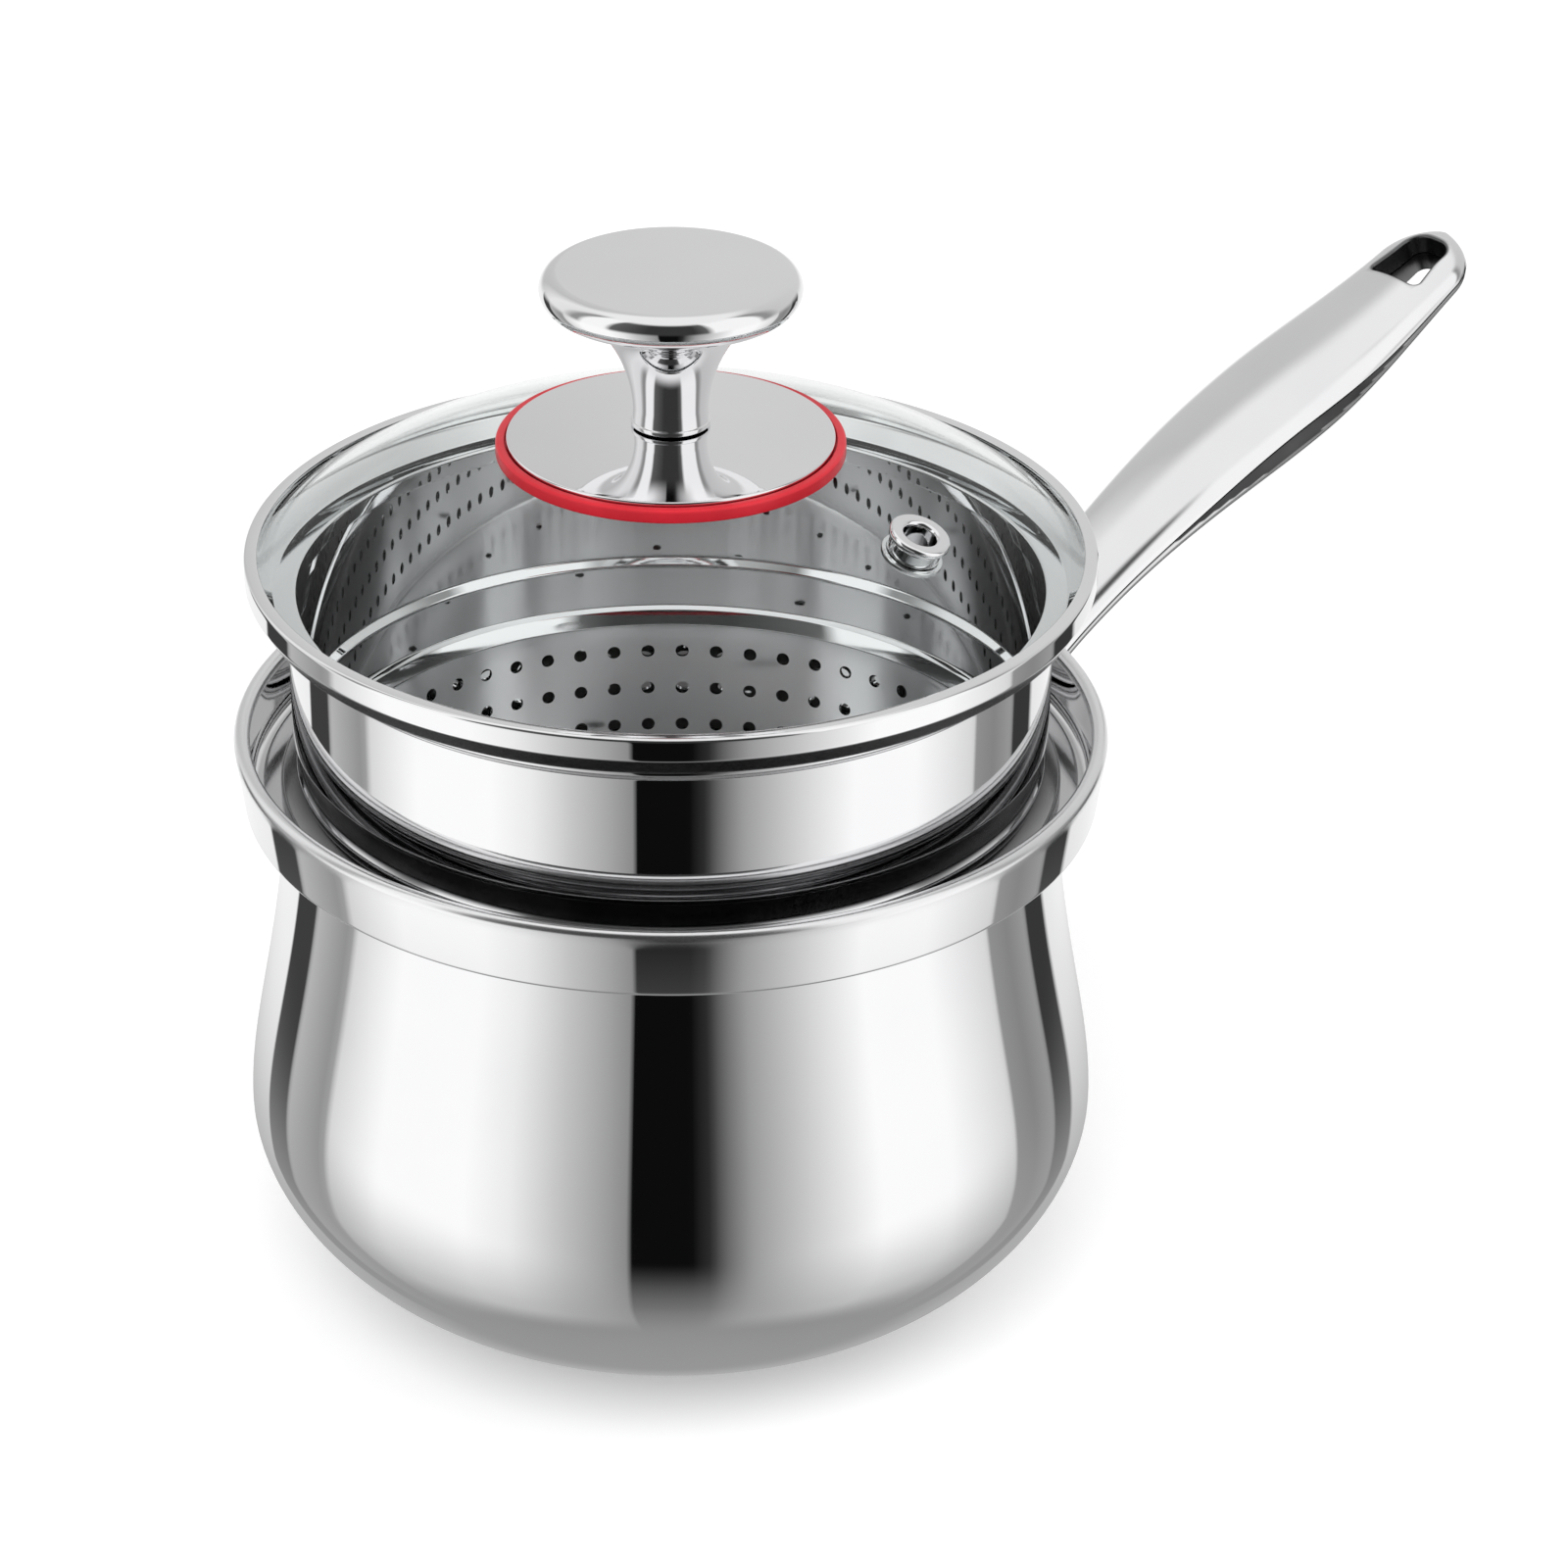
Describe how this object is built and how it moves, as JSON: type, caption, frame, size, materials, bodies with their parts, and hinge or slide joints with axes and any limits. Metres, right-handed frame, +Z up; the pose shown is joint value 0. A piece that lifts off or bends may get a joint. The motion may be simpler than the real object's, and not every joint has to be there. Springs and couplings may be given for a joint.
{
  "type": "saucepan with steamer insert",
  "caption": "Bellied steel saucepan with a collared rim and a long hollow handle, a perforated steamer insert and a domed glass lid with a steel knob.",
  "frame": {"origin": "centre of the base, on the surface that the pot stands on", "axes": "+Z up along the pot's axis, +X out along the handle, +Y to the left of someone who looks along the handle from the pot"},
  "size_m": [0.3322, 0.184, 0.2273],
  "materials": {
    "mirror_steel": "mirror polished",
    "handle_steel": "polished, slightly soft",
    "satin_steel": "satin",
    "base_aluminium": "plain",
    "lid_glass": "clear, polished",
    "red_silicone": "smooth satin",
    "dark_silicone": "matt"
  },
  "bodies": {
    "pot": {"pot_body": "mirror_steel", "base_core": "base_aluminium", "base_cap": "satin_steel", "handle_bracket": "satin_steel", "handle_top_shell": "handle_steel", "handle_bottom_shell": "handle_steel"},
    "steamer": {"steamer_basket": "mirror_steel"},
    "lid": {"lid_band": "mirror_steel", "lid_glass": "lid_glass", "vent_eyelet": "mirror_steel", "vent_ring": "mirror_steel", "knob_ring": "red_silicone", "knob_plate": "mirror_steel", "knob_grip": "mirror_steel", "knob_washer": "dark_silicone", "knob_screw": "satin_steel"}
  },
  "joints": [
    {"name": "steamer_lift", "type": "slide", "parent": "pot", "child": "steamer", "axis": [0, 0, 1], "range_m": [0, 0.14]},
    {"name": "lid_lift", "type": "slide", "parent": "steamer", "child": "lid", "axis": [0, 0, 1], "range_m": [0, 0.12]}
  ]
}
